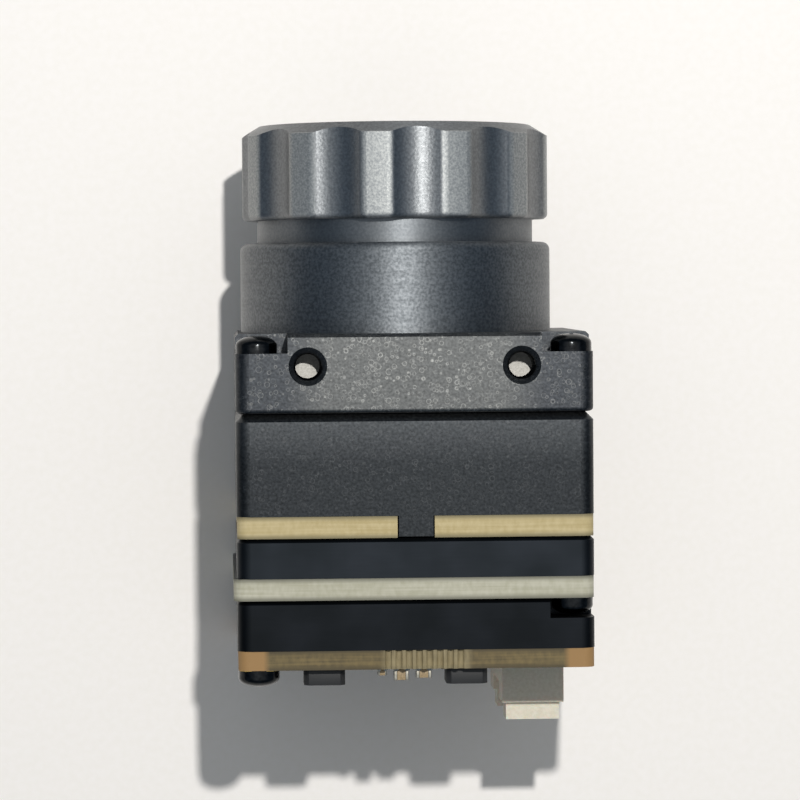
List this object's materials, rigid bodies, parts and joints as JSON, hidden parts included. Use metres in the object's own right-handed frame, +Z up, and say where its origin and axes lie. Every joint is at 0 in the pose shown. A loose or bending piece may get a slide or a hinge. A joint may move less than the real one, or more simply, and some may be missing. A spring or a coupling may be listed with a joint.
{
  "type": "camera module",
  "caption": "Square board-stack camera module with threaded side mounts, a wire header behind and a fluted manual-focus lens that turns and travels along its thread.",
  "frame": {"origin": "midway between the two threaded holes in the lower side face, in the plane of that face", "axes": "+Y parallel to the optical axis towards the front of the lens, +Z up out of the opposite side face, +X to the right when seen from above with the lens away from the viewer"},
  "size_m": [0.0262, 0.0446, 0.026],
  "materials": {
    "blasted_black_aluminium": "bead blasted and black anodised, fine sparkle",
    "frame_black_aluminium": "milled and black anodised, matt",
    "lens_black_aluminium": "turned and black anodised, satin",
    "blackened_steel": "black oxide, glossy domed heads",
    "tan_circuit_board": "bare glass-epoxy edge, tan",
    "grey_circuit_board": "bare glass-epoxy edge, pale grey",
    "brown_circuit_board": "dark resin edge with plated corners",
    "filter_glass": "thin polished filter glass",
    "coated_glass": "ground and polished, anti-reflection coated",
    "soft_rubber": "soft black rubber",
    "sensor_ceramic": "fired carrier ceramic",
    "silicon": "polished silicon",
    "chip_epoxy": "moulded black epoxy",
    "tinned_metal": "tin plated",
    "chip_ceramic": "fired tan ceramic with tinned ends",
    "link_plastic": "moulded dark plastic",
    "natural_nylon": "moulded off-white nylon"
  },
  "bodies": {
    "housing": {"front_shell": "blasted_black_aluminium", "middle_housing": "blasted_black_aluminium", "lens_mount": "lens_black_aluminium", "front_screws": "blackened_steel", "middle_screws": "blackened_steel", "rear_screws": "blackened_steel", "sensor_board": "tan_circuit_board", "front_frame": "frame_black_aluminium", "processor_board": "grey_circuit_board", "rear_frame": "frame_black_aluminium", "interface_board": "brown_circuit_board", "filter_glass": "filter_glass", "dust_seal": "soft_rubber", "sensor_package": "sensor_ceramic", "sensor_die": "silicon", "sensor_cover": "filter_glass", "processor_chip": "chip_epoxy", "thermal_pad": "soft_rubber", "memory_chip": "chip_epoxy", "crystal": "tinned_metal", "front_link_sockets": "link_plastic", "front_link_plugs": "link_plastic", "rear_link_socket": "link_plastic", "rear_link_plug": "link_plastic", "power_coils": "chip_epoxy", "regulator_chips": "chip_epoxy", "interface_chip": "chip_epoxy", "capacitors": "chip_ceramic", "chip_parts": "chip_ceramic", "connector_housing": "natural_nylon", "connector_contacts": "tinned_metal"},
    "focus_carrier": {"friction_ring": "soft_rubber"},
    "lens": {"lens_barrel": "lens_black_aluminium", "focus_ring": "lens_black_aluminium", "rear_element": "coated_glass", "rear_spacer": "lens_black_aluminium", "middle_element": "coated_glass", "aperture_stop": "lens_black_aluminium", "front_spacer": "lens_black_aluminium", "front_element": "coated_glass", "front_retainer": "lens_black_aluminium"}
  },
  "joints": [
    {"name": "focus_travel", "type": "slide", "parent": "housing", "child": "focus_carrier", "axis": [0, 1, 0], "range_m": [-0.00025, 0.00025]},
    {"name": "focus_turn", "type": "hinge", "parent": "focus_carrier", "child": "lens", "pos_m": [-0.0008, 0.0107, 0.013], "axis": [0, 1, 0], "range_deg": [-180, 180]}
  ],
  "couplings": [
    {"joint": "focus_travel", "follows": "focus_turn", "m_per_rad": 0.00007957}
  ]
}
